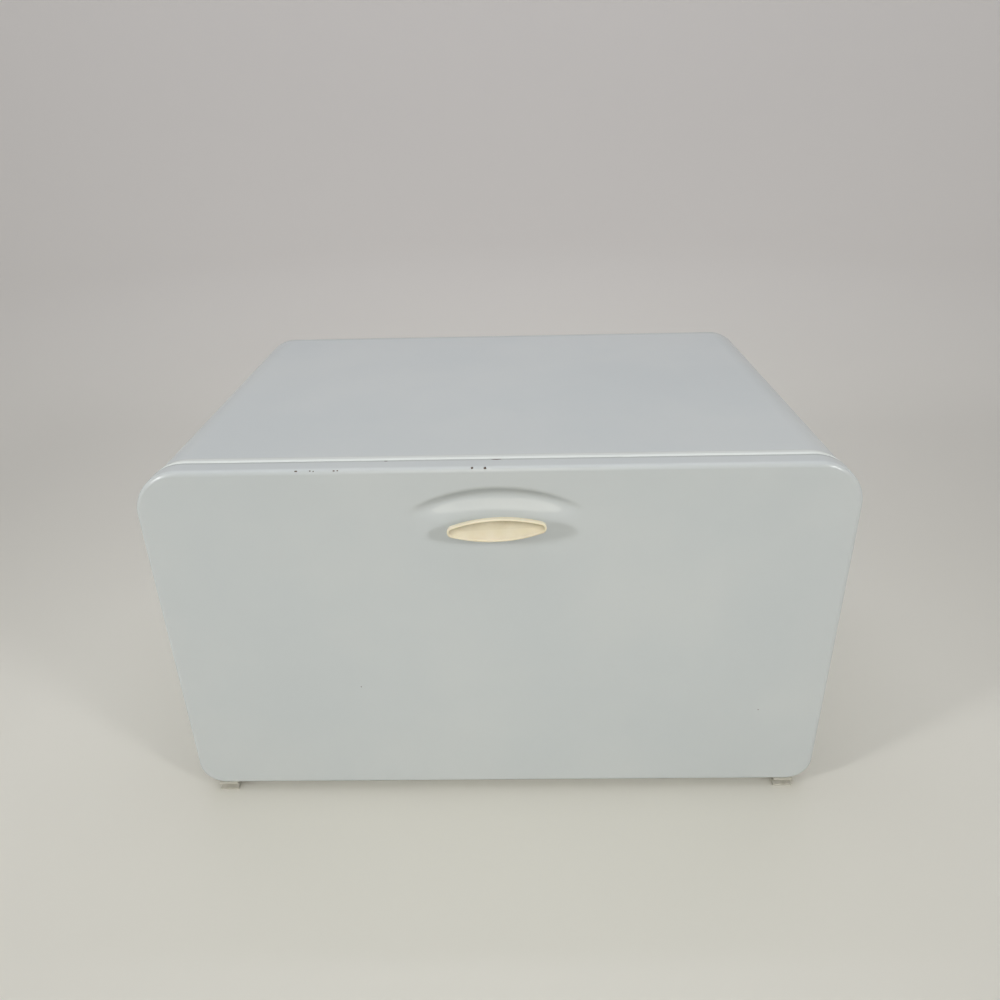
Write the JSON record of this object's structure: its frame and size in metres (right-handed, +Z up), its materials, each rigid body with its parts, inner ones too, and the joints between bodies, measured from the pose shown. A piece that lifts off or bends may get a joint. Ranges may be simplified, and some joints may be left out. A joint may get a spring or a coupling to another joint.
{
  "type": "bread box with drawer",
  "caption": "Sheet-steel bread box with rounded corners whose full-height front pulls out as a drawer, with an eye-shaped pull over a finger recess.",
  "frame": {"origin": "on the table under the middle of the whole box", "axes": "+X to the right across the front, +Y to the rear, +Z up; the front looks towards -Y"},
  "size_m": [0.4, 0.281, 0.2335],
  "materials": {
    "outer_enamel": "gloss",
    "inner_enamel": "semi-gloss",
    "plated_steel": "satin",
    "ivory_plastic": "gloss",
    "pale_rubber": "matt"
  },
  "bodies": {
    "case": {"case_shell": "outer_enamel", "rim_wire": "plated_steel", "case_back": "outer_enamel", "runner_left": "plated_steel", "runner_right": "plated_steel", "stop_left": "plated_steel", "stop_right": "plated_steel", "buffer_left": "pale_rubber", "buffer_right": "pale_rubber", "foot_front_left": "pale_rubber", "foot_front_right": "pale_rubber", "foot_rear_left": "pale_rubber", "foot_rear_right": "pale_rubber", "foot_screws": "plated_steel", "foot_nuts": "plated_steel"},
    "drawer": {"drawer_front": "outer_enamel", "inner_panel": "inner_enamel", "pull": "ivory_plastic", "pull_screws": "plated_steel", "pull_washers": "plated_steel", "glide_left": "outer_enamel", "glide_right": "outer_enamel", "glide_rivets": "plated_steel", "tub": "inner_enamel", "tub_back": "inner_enamel", "slide_left": "plated_steel", "slide_right": "plated_steel", "catch_left": "plated_steel", "catch_right": "plated_steel", "front_rivets": "plated_steel", "back_rivets": "plated_steel", "slide_rivets": "plated_steel"}
  },
  "joints": [
    {"name": "drawer_slide", "type": "slide", "parent": "case", "child": "drawer", "axis": [0, -1, 0], "range_m": [0, 0.195]}
  ]
}
